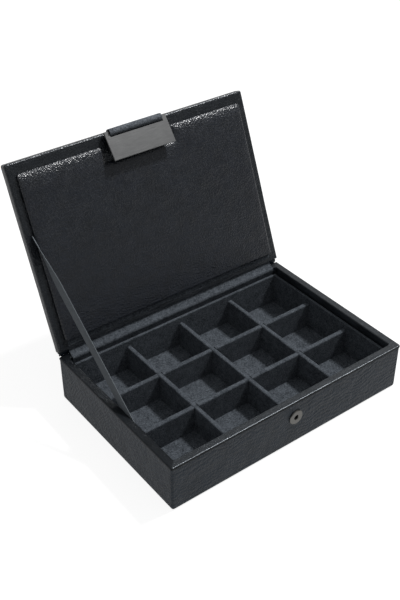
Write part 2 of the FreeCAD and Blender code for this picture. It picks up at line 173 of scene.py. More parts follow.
# ---------------------------------------------------------------- leather
# Features of the grain to a metre, and how deep each is pressed, in metres
PATCHES, DRIFTS, SWELLS, MOTTLES, RINGS = 21.0, 70.0, 75.0, 140.0, 170.0
CREASES, SCUFFS, PEBBLES, PORES = 300.0, 420.0, 950.0, 2600.0
SWELL_DEPTH, CREASE_DEPTH, RING_DEPTH = 0.0009, 0.00020, 0.00008
PEBBLE_DEPTH, OPEN_PEBBLE_DEPTH, PORE_DEPTH = 0.00028, 0.00038, 0.00004
DRIFT_REACH = 0.004
# Painted shade: the dark colour and lowered shine put on the front rim's lip, where the groove under it
# lies in shadow
LIP_SHADE_PAINT, LIP_SHADE_SHINE = dye(10, 11, 13), 0.25
# The front rim's leather lies forward of this, and only there is the shade under the lip painted
LIP_SHADE_FRONT = -0.0607
COAT_ROUGHNESS = 0.24


def leather_finish(name, dark, light, rough, grain=1.0, ripple=1.0, slack=1.0, specular=0.5,
                   patches=(0.42, 0.62), coat=0.0, lip_shade_height=None, stretched=None):
    """Pressed-grain leather: fine pebbles, patches of curved ripples where the hide was stretched, and
    slow undulation. The height given for the lip, in metres, is where painted shade ends: below it, at the
    front, the rim's lip is darkened where the groove under it is in shadow. Between the two heights of
    stretched the pebbles open up."""
    f = Finish(name)
    where = f.place()
    drift = f.node("ShaderNodeTexNoise", {"Vector": where, "Scale": DRIFTS, "Detail": 2.0}).outputs["Color"]
    shift = f.node("ShaderNodeVectorMath", {0: drift, "Scale": DRIFT_REACH}, operation="SCALE")
    bent = f.node("ShaderNodeVectorMath", {0: where, 1: shift.outputs["Vector"]}, operation="ADD")
    bent = bent.outputs["Vector"]

    pebbles = f.node("ShaderNodeTexVoronoi", {"Vector": bent, "Scale": PEBBLES}, feature="SMOOTH_F1")
    pebbles.inputs["Smoothness"].default_value = 0.35
    pebbles = pebbles.outputs["Distance"]
    patch = f.ramp(f.noise(where, PATCHES, 2.0), *patches, smooth=True)
    turned = f.place(turn=(0.5, 0.9, 0.4))
    rings = f.maths("MULTIPLY", f.waves(turned, RINGS, 12.0, 2.0, "DIAGONAL", 0.34), patch)
    creases = f.maths("MULTIPLY", f.noise(bent, CREASES, 1.0, 0.4, 1.5), patch)

    normal = f.relief(f.noise(where, SWELLS, 2.0), SWELL_DEPTH * slack)
    normal = f.relief(creases, CREASE_DEPTH * ripple, under=normal)
    normal = f.relief(rings, RING_DEPTH * ripple, under=normal)
    if stretched:
        opening = f.ramp(f.parts(where)["Z"], *stretched, 0.6, 1.0, smooth=True)
        normal = f.relief(f.maths("MULTIPLY", pebbles, opening), OPEN_PEBBLE_DEPTH * grain, under=normal)
    else:
        normal = f.relief(pebbles, PEBBLE_DEPTH * grain, under=normal)
    normal = f.relief(f.noise(where, PORES, 2.0), PORE_DEPTH * grain, under=normal)

    mottle = f.maths("MULTIPLY_ADD", rings, 0.18 + 0.12 * ripple, f.noise(where, MOTTLES, 4.0))
    base = f.blend(f.ramp(mottle, 0.35, 0.75), dark, light)
    scuff = f.maths("MULTIPLY_ADD", pebbles, 0.25, f.noise(where, SCUFFS))
    shine = specular
    # Painted shade under the front rim's lip: darker colour and less shine below the given height
    if lip_shade_height is not None:
        at = f.parts(where)
        above = f.ramp(at["Z"], lip_shade_height - 0.0003, lip_shade_height + 0.0002)
        behind = f.maths("GREATER_THAN", at["Y"], LIP_SHADE_FRONT)
        clear = f.maths("MAXIMUM", above, behind)
        base = f.blend(clear, LIP_SHADE_PAINT, base)
        shine = f.maths("MULTIPLY", f.ramp(clear, 0.0, 1.0, LIP_SHADE_SHINE, 1.0), specular)
    f.set(base=base, rough=f.ramp(scuff, 0.3, 0.9, rough - 0.07, rough + 0.10), normal=normal,
          specular=shine, tint=(0.84, 0.92, 1.0, 1.0))
    if coat:
        f.set(coat=coat, coat_rough=COAT_ROUGHNESS, coat_normal=normal)
    return f.material


# ---------------------------------------------------------------- velvet, ribbon, metal, board and card
# Scales are features to a metre, and depths are in metres
def velvet_finish(name, dark, light, sheen, sheen_tint):
    """Short-pile velvet cloth: flecked fibres and a pale bloom at the edges."""
    f = Finish(name)
    where = f.place()
    fleck = f.noise(where, 950.0, 3.0, 0.8)
    fibre = f.noise(where, 2600.0, 2.0, 0.6)
    cloud = f.noise(where, 190.0)
    tone = f.maths("MULTIPLY_ADD", cloud, 0.35, f.maths("MULTIPLY_ADD", fibre, 0.5, fleck))
    base = f.blend(f.ramp(tone, 0.72, 1.13), dark, light)
    pile = f.relief(f.noise(where, 800.0, 3.0, 0.65), 0.0005)
    pile = f.relief(fibre, 0.00025, under=pile)
    f.set(base=base, rough=0.95, normal=pile, specular=0.05, sheen=sheen, sheen_rough=0.4,
          sheen_tint=sheen_tint)
    return f.material


def ribbon_finish(name):
    """Grosgrain: fine ribs across the strip, drawn on its own length and width."""
    f = Finish(name)
    ribs = f.waves(f.place(attribute="weave"), 520.0, 0.4, 1.0, "X")
    threads = f.noise(f.place(scale=(1, 8, 1), attribute="weave"), 1400.0)
    base = f.blend(f.ramp(threads, 0.3, 0.7), dye(92, 98, 103), dye(122, 129, 135))
    f.set(base=base, rough=0.62, specular=0.3, normal=f.relief(ribs, 0.00012), sheen=0.1,
          sheen_tint=dye(190, 200, 215))
    return f.material


def metal_finish(name, colour, rough, brushed=(1, 1, 1)):
    """Plated metal with fine brushing across one axis."""
    f = Finish(name)
    lines = f.noise(f.place(scale=brushed), 1400.0, 3.0, 0.6)
    smudge = f.noise(f.place(), 160.0)
    dulled = tuple(v * 0.97 for v in colour[:3]) + (1.0,)
    wear = f.maths("MULTIPLY_ADD", smudge, 0.4, lines)
    f.set(base=f.blend(f.ramp(smudge, 0.3, 0.7), dulled, colour), metal=1.0,
          rough=f.ramp(wear, 0.5, 1.1, rough - 0.03, rough + 0.03), normal=f.relief(lines, 0.00002))
    return f.material


def board_finish(name):
    """Grey bookbinder's board."""
    f = Finish(name)
    fibre = f.noise(f.place(), 700.0, 4.0, 0.7, 1.0)
    base = f.blend(f.ramp(fibre, 0.35, 0.7), dye(120, 117, 110), dye(150, 147, 139))
    f.set(base=base, rough=0.9, specular=0.2, normal=f.relief(fibre, 0.0002))
    return f.material


def card_finish(name):
    """The textured black sheet under the box."""
    f = Finish(name)
    where = f.place()
    linen = f.maths("ADD", f.waves(where, 330.0, 1.0, 2.0, "X"), f.waves(where, 330.0, 1.0, 2.0, "Y"))
    base = f.blend(f.noise(where, 300.0), dye(26, 27, 30), dye(38, 39, 43))
    f.set(base=base, rough=0.7, specular=0.3, normal=f.relief(linen, 0.00008))
    return f.material


# Partly painted light: the case's leather has its own navy, and a lighter, bluer tone than the lid's that
# puts the bluish light on the case's walls into its colour
case_leather_painted_blue_light = leather_finish(
    "case_leather_painted_blue_light", dye(15, 24, 33), dye(30, 41, 53), 0.33, ripple=1.9, slack=1.2, patches=(0.36, 0.56))
lid_leather = leather_finish(
    "lid_leather", dye(9, 13, 17), dye(16, 20, 26), 0.36, grain=0.8, ripple=0.6, slack=0.6,
    specular=0.6, coat=0.45)
panel_leather = leather_finish(
    "panel_leather", dye(5, 9, 18), dye(13, 19, 30), 0.50, ripple=0.45, slack=0.7, patches=(0.40, 0.60),
    specular=0.42, coat=1.0, stretched=(0.131, 0.144))


def rim_finish(name, specular):
    """The smooth leather turned over a rim, with painted shade on its lip, where the groove under it is in
    shadow.
    """
    return leather_finish(name, dye(11, 13, 16), dye(18, 21, 25), 0.34, grain=0.35, ripple=0.25,
                          slack=0.25, specular=specular, lip_shade_height=0.0336)


rim_leather = rim_finish("rim_leather", 0.9)
# Painted shade: a copy of the rim's leather with less shine, so that the left rim looks darker than the
# front and right rims
shaded_left_rim_leather = rim_finish("shaded_left_rim_leather", 0.35)
PILE_BLOOM = dye(172, 180, 192)
velvet = velvet_finish("velvet", dye(37, 41, 46), dye(96, 102, 109), 0.10, PILE_BLOOM)
# Painted light: the strap is the same velvet as the tray, given a lighter copy so that it looks more
# brightly lit
lit_strap_velvet = velvet_finish("lit_strap_velvet", dye(50, 54, 60), dye(124, 130, 137), 0.12, PILE_BLOOM)
ribbon_weave = ribbon_finish("stay_ribbon_weave")

SLOT_FINISHES = {
    "leather": case_leather_painted_blue_light,
    "panel_leather": panel_leather,
    "velvet": velvet,
    "ribbon": ribbon_weave,
    "underside": card_finish("underside_card"),
    "board": board_finish("grey_board"),
    "foam": board_finish("panel_foam"),
    "nickel": metal_finish("dark_nickel", dye(134, 133, 130), 0.30, (1, 0.2, 1)),
    "gunmetal": metal_finish("gunmetal", dye(134, 135, 136), 0.36, (0.12, 1, 1)),
    "magnet": metal_finish("magnet", dye(90, 90, 90), 0.30),
}
RIM_FINISHES = {
    "rim_trim_front": rim_leather,
    "rim_trim_left": shaded_left_rim_leather,
    "rim_trim_right": rim_leather,
}
for name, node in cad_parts.items():
    for slot in node.material_slots:
        slot.material = RIM_FINISHES.get(name) or SLOT_FINISHES[slot.material.name.split(".")[0]]


# ---------------------------------------------------------------- making a piece
def meshed(verts, faces):
    """The points and faces as a mesh to work on, turned outwards."""
    plain = bpy.data.meshes.new("plain")
    plain.from_pydata([tuple(v) for v in verts], [], faces)
    work = bmesh.new()
    work.from_mesh(plain)
    bpy.data.meshes.remove(plain)
    bmesh.ops.recalc_face_normals(work, faces=work.faces)
    return work


def new_piece(name, mesh, crease=None):
    """An object at the origin, smooth but for edges sharper than crease, in degrees."""
    mesh.shade_smooth()
    if crease is not None:
        mesh.set_sharp_from_angle(angle=math.radians(crease))
    made = bpy.data.objects.new(name, mesh)
    bpy.context.scene.collection.objects.link(made)
    return made


def finished(name, work, finish, crease=None, place=None):
    """The piece from its worked mesh, turned outwards and then, if place is given, carried by it."""
    bmesh.ops.recalc_face_normals(work, faces=work.faces)
    if place:
        for v in work.verts:
            v.co = place(*v.co)
    mesh = bpy.data.meshes.new(name)
    work.to_mesh(mesh)
    work.free()
    mesh.materials.append(finish)
    return new_piece(name, mesh, crease)


def cut_across(work, axis, low, high, parts, touch):
    """Cuts every face where it crosses the planes that divide low to high into equal parts."""
    for k in range(1, parts):
        place, normal = Vector(), Vector()
        place[axis], normal[axis] = low + (high - low) * k / parts, 1.0
        bmesh.ops.bisect_plane(work, geom=work.verts[:] + work.edges[:] + work.faces[:],
                               plane_co=place, plane_no=normal, dist=touch)


def quads_at_most(work):
    """Divides every face of more than four corners into triangles."""
    bmesh.ops.triangulate(work, faces=[f for f in work.faces if len(f.verts) > 4])


def swept_loop(name, sections, finish, crease=45.0):
    """A closed piece through rings of points of equal count, its two ends capped."""
    count = len(sections[0])
    verts = [p for ring in sections for p in ring]
    faces = [list(range(count)), list(range(len(verts) - count, len(verts)))]
    for k in range(len(sections) - 1):
        for i in range(count):
            j = (i + 1) % count
            faces.append([k * count + i, k * count + j, (k + 1) * count + j, (k + 1) * count + i])
    return finished(name, meshed(verts, faces), finish, crease)


def smooth_path(points, per_span):
    """A Catmull-Rom curve through the points."""
    ends = [points[0]] + list(points) + [points[-1]]
    out = []
    for a, b, c, d in zip(ends, ends[1:], ends[2:], ends[3:]):
        for k in range(per_span):
            t = k / per_span
            out.append(tuple(0.5 * (2 * q + (r - p) * t + (2 * p - 5 * q + 4 * r - s) * t * t
                                    + (3 * q - p - 3 * r + s) * t ** 3)
                             for p, q, r, s in zip(a, b, c, d)))
    return out + [tuple(points[-1])]


def square_to(dy, dz):
    """The direction square to a run in the y-z plane."""
    run = Vector((0, dy, dz)).normalized()
    return Vector((0, -run.z, run.y))


def uneven(at, *layers):
    """Slow unevenness at a point: layers of noise, each with its rate, its offset and its depth."""
    return sum(noise.noise(at * rate + Vector(offset)) * depth for rate, offset, depth in layers)


# ---------------------------------------------------------------- the padded panel in the lid
CORNER_RADIUS, NOTCH_CORNER_RADIUS = 2.0, 1.2
FIELD_STEP = 0.9
EDGE_STEPS = (0.0, 0.1, 0.22, 0.36, 0.52, 0.72, 0.95, 1.25, 1.65, 2.1, 2.7)
# How each side turns down: reach and drop of the turned edge, reach and drop of the pillow behind it, mm
FRONT_EDGE, SIDE_EDGE, REAR_EDGE = (1.2, 0.6, 2.7, 1.85), (1.4, 0.8, 4.0, 0.7), (0.6, 0.15, 13.0, 0.45)
TIGHT_REACH = 5.0
SWELL_LAYERS = (0.045, (0, 0, 0), 0.10), (0.13, (7, 3, 1), 0.05)
RUCK_RATE, RUCK_OFFSET, RUCK_DEPTH = 0.10, Vector((3, 9, 4)), 0.05
HIDE_SLACK = 0.6
# How much of the lesser of two drops counts where two edges meet
CORNER_SHARE = 0.35
ON_LINE = 1e-6


def graded(low, high):
    """Grid lines from low to high, close together at both ends."""
    reach = EDGE_STEPS[-1]
    count = max(2, round((high - low - 2 * reach) / FIELD_STEP))
    field = np.linspace(low + reach, high - reach, count + 1)[1:-1]
    return [low + e for e in EDGE_STEPS] + list(field) + [high - e for e in reversed(EDGE_STEPS)]


def grid_lines(*stops):
    """Grid lines through the stops, close together at each."""
    lines = [stops[0]]
    for low, high in zip(stops, stops[1:]):
        lines += graded(low, high)[1:]
    return lines


def in_notch(x, y):
    """Whether a point is in the notch that the strap comes out of."""
    return NOTCH_X0 + ON_LINE < x < NOTCH_X1 - ON_LINE and y < NOTCH_Y - ON_LINE


def rounded(u, v, radius):
    """Pulls a point near a square corner onto rings of the rounded one; u and v are its
    distances from the two sides."""
    if u >= radius or v >= radius:
        return u, v
    a, b = radius - u, radius - v
    reach, length = max(a, b), math.hypot(a, b)
    return radius - a * reach / length, radius - b * reach / length


def soft_min(a, b, blend):
    """The lesser of a and b, rounded off where they are nearly equal."""
    h = max(blend - abs(a - b), 0.0) / blend
    return min(a, b) - h * h * blend * 0.25


def turned_edge(distance, reach, drop, pillow_reach, pillow_drop):
    """The drop below the panel's full height at a distance in from one side."""
    turn = max(reach - distance, 0.0) / reach
    turned = drop * (1.0 - math.sqrt(max(1.0 - turn * turn, 0.0)))
    return turned + pillow_drop * math.exp(-distance / pillow_reach)


def panel_height(x, y, sides, near):
    """How proud the leather stands at a point: turned edges, a pillow towards each, and slack in the
    hide that grows with the distance near from the nearest edge."""
    drops = sorted((turned_edge(distance, *shape) for distance, shape in sides), reverse=True)
    at = Vector((x, y, 0.0))
    ruck = noise.turbulence(at * RUCK_RATE + RUCK_OFFSET, 2, True) * RUCK_DEPTH
    slack = (uneven(at, *SWELL_LAYERS) - ruck) * min(1.0, near / TIGHT_REACH) * HIDE_SLACK
    return PANEL_THICKNESS - drops[0] - CORNER_SHARE * drops[1] + slack


def panel_point(x, y):
    """A point of the panel's grid on the open lid, pulled round the corners and raised."""
    left, right = x + PANEL_HALF_WIDTH, PANEL_HALF_WIDTH - x
    front, rear = y - PANEL_FRONT_Y, PANEL_REAR_Y - y
    side, end = min(left, right), min(front, rear)
    u, v = rounded(side, end, CORNER_RADIUS)
    px = x + (u - side) * (1 if left < right else -1)
    py = y + (v - end) * (1 if front < rear else -1)
    dx = max(NOTCH_X0 - x, x - NOTCH_X1, 0.0)
    dy = max(y - NOTCH_Y, 0.0)
    from_notch = math.hypot(dx, dy)
    if dy == 0.0 and dx < NOTCH_CORNER_RADIUS and front < NOTCH_CORNER_RADIUS:
        a, b = rounded(dx, front, NOTCH_CORNER_RADIUS)
        px += (a - dx) * (-1 if x < 0 else 1)
        py += b - front
    near = soft_min(soft_min(side, end, TIGHT_REACH), from_notch, TIGHT_REACH)
    end_edge = FRONT_EDGE if front < rear else REAR_EDGE
    sides = ((u, SIDE_EDGE), (v, end_edge), (from_notch, FRONT_EDGE))
    return opened(px, py, LID_INNER_Z - panel_height(px, py, sides, near))


def panel_sides(work):
    """Takes the panel's edge straight down to the lid and closes it underneath."""
    rim = [e for e in work.edges if e.is_boundary]
    made = bmesh.ops.extrude_edge_only(work, edges=rim)["geom"]
    out = (opened(0, 0, 1) - opened(0, 0, 0)).normalized()
    foot = opened(0, 0, LID_INNER_Z)
    for v in made:
        if isinstance(v, bmesh.types.BMVert):
            v.co += out * (foot - v.co).dot(out)
    bmesh.ops.contextual_create(work, geom=[e for e in work.edges if e.is_boundary])


def padded_panel():
    """The leather panel inside the lid, with a notch at its front for the strap."""
    xs = grid_lines(-PANEL_HALF_WIDTH, NOTCH_X0, NOTCH_X1, PANEL_HALF_WIDTH)
    ys = grid_lines(PANEL_FRONT_Y, NOTCH_Y, PANEL_REAR_Y)
    index, verts, faces = {}, [], []
    for j, y in enumerate(ys):
        for i, x in enumerate(xs):
            if not in_notch(x, y):
                index[i, j] = len(verts)
                verts.append(panel_point(x, y))
    for j in range(len(ys) - 1):
        for i in range(len(xs) - 1):
            if not in_notch((xs[i] + xs[i + 1]) / 2, (ys[j] + ys[j + 1]) / 2):
                faces.append([index[i, j], index[i + 1, j], index[i + 1, j + 1], index[i, j + 1]])
    work = meshed(verts, faces)
    panel_sides(work)
    return finished("lid_panel", work, panel_leather)


panel = padded_panel()
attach(panel, "lid")
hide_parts("panel_cover", "panel_foam", "panel_board")

# ---------------------------------------------------------------- the velvet band inside the hinge
# From the foot of the rear wall, over its top in a soft roll, into the hinge gap and up the lid; y, z, mm
BAND_FACE = [
    (56.00, 22.0), (56.00, 26.0), (55.95, 28.6), (55.75, 30.2), (55.35, 31.4), (55.20, 32.4),
    (55.45, 33.3), (56.10, 33.95), (57.00, 34.15), (57.70, 34.50), (58.40, 34.90), (59.00, 35.35),
    (59.45, 35.95), (59.80, 36.6), (59.93, 37.1), (59.75, 37.7), (59.60, 38.2), (59.60, 38.7),
    (59.85, 39.5), (60.20, 40.5), (60.60, 41.6), (61.15, 43.4),
]
BAND_HALF, BAND_THICKNESS, BAND_STRIPS = 82.9, 0.8, 120
ROLL_Z, ROLL_REACH = 34.5, 3.0
BAND_END_REACH = 1.2


def band_slack(x, z):
    """How far the velvet stands off its path: most on the roll, and little at the two ends."""
    slow = noise.noise(Vector((x * 0.06, z * 0.2, 2.0))) * 0.25
    quick = noise.noise(Vector((x * 0.3, z * 0.3, 5.0))) * 0.09
    on_roll = math.exp(-((z - ROLL_Z) / ROLL_REACH) ** 2)
    inside = 1.0 - 0.7 * math.exp(-((BAND_HALF - abs(x)) / BAND_END_REACH) ** 2)
    return (slow + quick) * on_roll * inside


def hinge_band():
    """The velvet over the hinge, in strips across the box."""
    path = [Vector((0, y, z)) for y, z in smooth_path(BAND_FACE, 3)]
    outward = []
    for before, after in zip([path[0]] + path, path[1:] + [path[-1]]):
        run = after - before
        outward.append(square_to(run.y, run.z))
    sections = []
    for k in range(BAND_STRIPS + 1):
        x = BAND_HALF * (2 * k / BAND_STRIPS - 1)
        line = [(Vector((x, p.y, p.z)), out) for p, out in zip(path, outward)]
        front = [(at + out * band_slack(x, at.z)) * MM for at, out in line]
        back = [(at - out * BAND_THICKNESS) * MM for at, out in line]
        sections.append(front + back[::-1])
    return swept_loop("hinge_band_velvet", sections, velvet)


band = hinge_band()
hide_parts("hinge_band")
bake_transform(band)

# ---------------------------------------------------------------- the leather fold of the spine
SPINE_STRIP = 1.5 * MM
FOLD_Z, FOLD_REACH, FOLD_DEPTH = 0.0359, 0.0012, 0.5 * MM
FOLD_END_X, FOLD_END_REACH = 0.080, 0.008


def spine_crumple(at):
    """How the strip of cover between case and lid is pinched and creased where it folds."""
    fold = math.exp(-((at.z - FOLD_Z) / FOLD_REACH) ** 2)
    ends = min(1.0, max(0.0, (abs(at.x) - FOLD_END_X) / FOLD_END_REACH))
    wave = noise.noise(Vector((at.x * 420, at.z * 300, 4.0))) * (0.25 + 0.5 * ends)
    return Vector((0, 1, 0)) * wave * fold * FOLD_DEPTH


def spine_fold():
    """The spine's own solid, cut into strips across the box, and crumpled."""
    work = bmesh.new()
    work.from_mesh(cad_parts["spine_leather"].data)
    bmesh.ops.remove_doubles(work, verts=work.verts, dist=1e-6)
    bmesh.ops.dissolve_limit(work, angle_limit=math.radians(0.5), verts=work.verts, edges=work.edges)
    low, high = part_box("spine_leather")
    cut_across(work, 0, low.x, high.x, int((high.x - low.x) / SPINE_STRIP) + 1, touch=1e-7)
    for v in work.verts:
        v.co += spine_crumple(v.co)
    quads_at_most(work)
    return finished("spine_fold", work, case_leather_painted_blue_light, crease=50)


spine = spine_fold()
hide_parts("spine_leather")
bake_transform(spine)

# ---------------------------------------------------------------- the lid's leather
LID_HALF, LID_FRONT, LID_REAR, LID_TOP = 90.0, -61.3, 60.1, 40.7
LID_MIDDLE_Z, LID_HALF_THICKNESS = (LID_INNER_Z + LID_TOP) / 2, 3.2
LID_EDGE_REACH, LID_STEP = 1.35, 4.0
LID_SWELLS = (0.06, (0, 0, 0), 0.10), (0.21, (4, 1, 8), 0.04)
LID_SINK, LID_REAR_REACH = 0.09, 6.0
RIDGE_HALF, RIDGE_HEIGHT, RIDGE_LIFT, RIDGE_WANDER = 0.32, 0.30, 0.12, 0.5


def lid_block():
    """The shut lid's block, rounded at every edge but those at the hinge."""
    verts = [(x, y, z) for z in (LID_INNER_Z, LID_TOP) for x, y in (
        (-LID_HALF, LID_FRONT), (LID_HALF, LID_FRONT), (LID_HALF, LID_REAR), (-LID_HALF, LID_REAR))]
    work = bmesh.new()
    corners = [work.verts.new(v) for v in verts]
    for face in ((3, 2, 1, 0), (4, 5, 6, 7), (0, 1, 5, 4), (1, 2, 6, 5), (2, 3, 7, 6), (3, 0, 4, 7)):
        work.faces.new([corners[i] for i in face])
    soft = [e for e in work.edges if any(v.co.y < LID_REAR - 0.01 for v in e.verts)]
    bmesh.ops.bevel(work, geom=soft, offset=LID_EDGE_REACH, segments=5, profile=0.5, affect="EDGES",
                    clamp_overlap=True)
    for axis, low, high in ((0, -LID_HALF, LID_HALF), (1, LID_FRONT, LID_REAR)):
        cut_across(work, axis, low, high, int((high - low) / LID_STEP), touch=1e-4)
    return work


def swell_lid(work):
    """Lets the leather rise and sink a little over the board, less towards the hinge."""
    for v in work.verts:
        away = min(1.0, max(0.0, LID_REAR - v.co.y) / LID_REAR_REACH)
        lift = uneven(v.co, *LID_SWELLS)
        out = Vector((v.co.x / LID_HALF, v.co.y / LID_HALF, (v.co.z - LID_MIDDLE_Z) / LID_HALF_THICKNESS))
        v.co += Vector((out.x ** 5, out.y ** 5, out.z ** 5)) * (lift - LID_SINK) * away


def mitre_ridge(work, side):
    """The thin ridge where the turned-in edges meet, from the lid's corner to the panel's."""
    z = LID_INNER_Z + RIDGE_LIFT
    a = Vector((side * (LID_HALF - 1.1), LID_FRONT + 1.1, z))
    b = Vector((side * (PANEL_HALF_WIDTH - 0.4), PANEL_FRONT_Y + 0.4, z))
    across = Vector((-(b - a).y, (b - a).x, 0)).normalized() * RIDGE_HALF
    rings = []
    for t in (0.0, 0.33, 0.67, 1.0):
        p = a.lerp(b, t) + across * noise.noise(Vector((t * 3, side, 0))) * RIDGE_WANDER
        crest = p + Vector((0, 0, -RIDGE_HEIGHT))
        rings.append([work.verts.new(p - across), work.verts.new(crest), work.verts.new(p + across)])
    for one, two in zip(rings, rings[1:]):
        for i in range(3):
            j = (i + 1) % 3
            work.faces.new((one[i], one[j], two[j], two[i]))
    work.faces.new(rings[0])
    work.faces.new(rings[-1])


def lid_cover():
    """The leather drawn over the lid board, with a mitred fold at each front corner inside."""
    work = lid_block()
    swell_lid(work)
    quads_at_most(work)
    for side in (-1, 1):
        mitre_ridge(work, side)
    return finished("lid_cover", work, lid_leather, crease=35, place=opened)


cover = lid_cover()
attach(cover, "lid")
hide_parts("lid_wrap", "lid_lining_card")

# ---------------------------------------------------------------- the closure strap
# Its section on the shut lid: along the seat in the lid, over the edge and once round the plate's bar;
# y, z, half thickness, mm
BAR_Y, BAR_Z, EYE_RADIUS, EYE_HALF = -61.2, 31.7, 1.85, 0.42
STRAP_SEAT = [
    (-47.15, 34.76, 0.40), (-47.8, 34.74, 0.44), (-50.0, 34.73, 0.45), (-54.0, 34.73, 0.45),
    (-58.0, 34.73, 0.45), (-60.3, 34.73, 0.45), (-61.2, 34.72, 0.44), (-61.92, 34.46, 0.47),
    (-62.40, 33.92, 0.50), (-62.82, 33.0, 0.48),
]
EYE_TURNS = [math.radians(degrees) for degrees in range(180, 470, 24)]
STRAP_EYE = [(BAR_Y + EYE_RADIUS * math.cos(turn), BAR_Z + EYE_RADIUS * math.sin(turn), EYE_HALF)
             for turn in EYE_TURNS]
STRAP_X0, STRAP_X1, STRAP_STRIPS = -18.2, 21.2, 64
STRAP_SIDE_REACH = 0.4


def closure_strap():
    """The velvet strap that the closure plate hangs on, in strips across the box."""
    line = smooth_path(STRAP_SEAT + STRAP_EYE, 3)
    sections = []
    for k in range(STRAP_STRIPS + 1):
        x = STRAP_X0 + (STRAP_X1 - STRAP_X0) * k / STRAP_STRIPS
        inset = min(x - STRAP_X0, STRAP_X1 - x)
        worn = 1.0 - 0.2 * math.exp(-(inset / STRAP_SIDE_REACH) ** 2)
        front, back = [], []
        for (y, z, half), before, after in zip(line, [line[0]] + line, line[1:] + [line[-1]]):
            out = square_to(after[0] - before[0], after[1] - before[1])
            slack = noise.noise(Vector((x * 0.25, y * 0.3, z * 0.3))) * 0.04
            centre = Vector((x, y, z)) + out * slack
            front.append(opened(*(centre + out * half * worn)))
            back.append(opened(*(centre - out * half * worn)))
        sections.append(front + back[::-1])
    return swept_loop("closure_strap", sections, lit_strap_velvet)


strap = closure_strap()
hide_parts("strap_tail", "strap_loop")
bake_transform(strap)

# ---------------------------------------------------------------- the stay ribbon
RIBBON_WIDTH, RIBBON_THICKNESS = 9 * MM, 0.45 * MM
RIBBON_FOOT_Y, RIBBON_FOOT_Z = -0.0150, 0.0286
RIBBON_POINTS = 60
RIBBON_SAG, RIBBON_BOW = 0.0013, 0.0004
# It runs on edge from the case, and turns this many degrees over the last part of its length
RIBBON_TWIST, TWIST_FROM = 27.0, 0.72


def strap_tree():
    """Sweeps a thin flat section along a curve and lays out its length and width for the weave."""
    tree = bpy.data.node_groups.new("flat_strap", "GeometryNodeTree")
    face = tree.interface
    face.new_socket("Path", in_out="INPUT", socket_type="NodeSocketGeometry")
    for name, value in (("Width", 0.01), ("Thickness", 0.0005)):
        face.new_socket(name, in_out="INPUT", socket_type="NodeSocketFloat").default_value = value
    face.new_socket("Finish", in_out="INPUT", socket_type="NodeSocketMaterial")
    face.new_socket("Strap", in_out="OUTPUT", socket_type="NodeSocketGeometry")
    n = Nodes(tree)
    entry = n.node("NodeGroupInput").outputs

    def keep_length(curve):
        """The curve with each point's distance along it kept as a value."""
        keep = n.node("GeometryNodeCaptureAttribute", domain="POINT")
        keep.capture_items.new("FLOAT", "Value")
        n.feed(keep.inputs["Geometry"], curve)
        n.feed(keep.inputs["Value"], n.node("GeometryNodeSplineParameter").outputs["Length"])
        return keep.outputs

    section = n.node("GeometryNodeCurvePrimitiveQuadrilateral", {
        "Width": entry["Width"], "Height": entry["Thickness"]})
    corner = n.maths("MULTIPLY", entry["Thickness"], 0.45)
    soft = n.node("GeometryNodeFilletCurve", {
        "Count": 2, "Radius": corner, "Curve": section.outputs["Curve"]}, mode="POLY")
    along = keep_length(entry["Path"])
    across = keep_length(soft.outputs["Curve"])
    sweep = n.node("GeometryNodeCurveToMesh", {
        "Curve": along["Geometry"], "Profile Curve": across["Geometry"], "Fill Caps": True})
    pair = n.node("ShaderNodeCombineXYZ", {"X": along["Value"], "Y": across["Value"]})
    store = n.node("GeometryNodeStoreNamedAttribute", {
        "Geometry": sweep.outputs["Mesh"], "Name": "weave", "Value": pair.outputs["Vector"],
    }, data_type="FLOAT2", domain="CORNER")
    dress = n.node("GeometryNodeSetMaterial", {
        "Geometry": store.outputs["Geometry"], "Material": entry["Finish"]})
    solid = n.node("GeometryNodeRealizeInstances", {"Geometry": dress.outputs["Geometry"]})
    n.node("NodeGroupOutput", {"Strap": solid.outputs["Geometry"]})
    return tree


def swept_strap(name, points, tilts, sizes):
    """A flat strap along points, in metres; sizes are the tree's inputs by name."""
    curve = bpy.data.curves.new(name + "_path", "CURVE")
    curve.dimensions = "3D"
    curve.twist_mode = "Z_UP"
    spline = curve.splines.new("POLY")
    spline.points.add(len(points) - 1)
    for knot, point, tilt in zip(spline.points, points, tilts):
        knot.co = (*point, 1.0)
        knot.tilt = tilt
    path = bpy.data.objects.new(name + "_path", curve)
    bpy.context.scene.collection.objects.link(path)
    modifier = path.modifiers.new("strap", "NODES")
    modifier.node_group = strap_tree()
    for socket in modifier.node_group.interface.items_tree:
        if socket.name in sizes:
            modifier[socket.identifier] = sizes[socket.name]
    bpy.context.view_layer.update()
    mesh = bpy.data.meshes.new_from_object(path.evaluated_get(bpy.context.evaluated_depsgraph_get()))
    mesh.name = name
    bpy.data.objects.remove(path)
    return new_piece(name, mesh, crease=40)


def stay_ribbon(foot, top):
    """From the tray's left wall up to the lid, hanging a little slack and turning as it nears the lid."""
    points, tilts = [], []
    for k in range(RIBBON_POINTS + 1):
        t = k / RIBBON_POINTS
        point = foot.lerp(top, t)
        point.x += RIBBON_BOW * math.sin(math.pi * t)
        point.z -= RIBBON_SAG * 4 * t * (1 - t)
        points.append(point)
        twist = max(0.0, (t - TWIST_FROM) / (1 - TWIST_FROM))
        tilts.append(math.radians(90.0 - RIBBON_TWIST * twist * twist * (3 - 2 * twist)))
    sizes = {"Width": RIBBON_WIDTH, "Thickness": RIBBON_THICKNESS, "Finish": ribbon_weave}
    return swept_strap("stay_ribbon_weave", points, tilts, sizes)


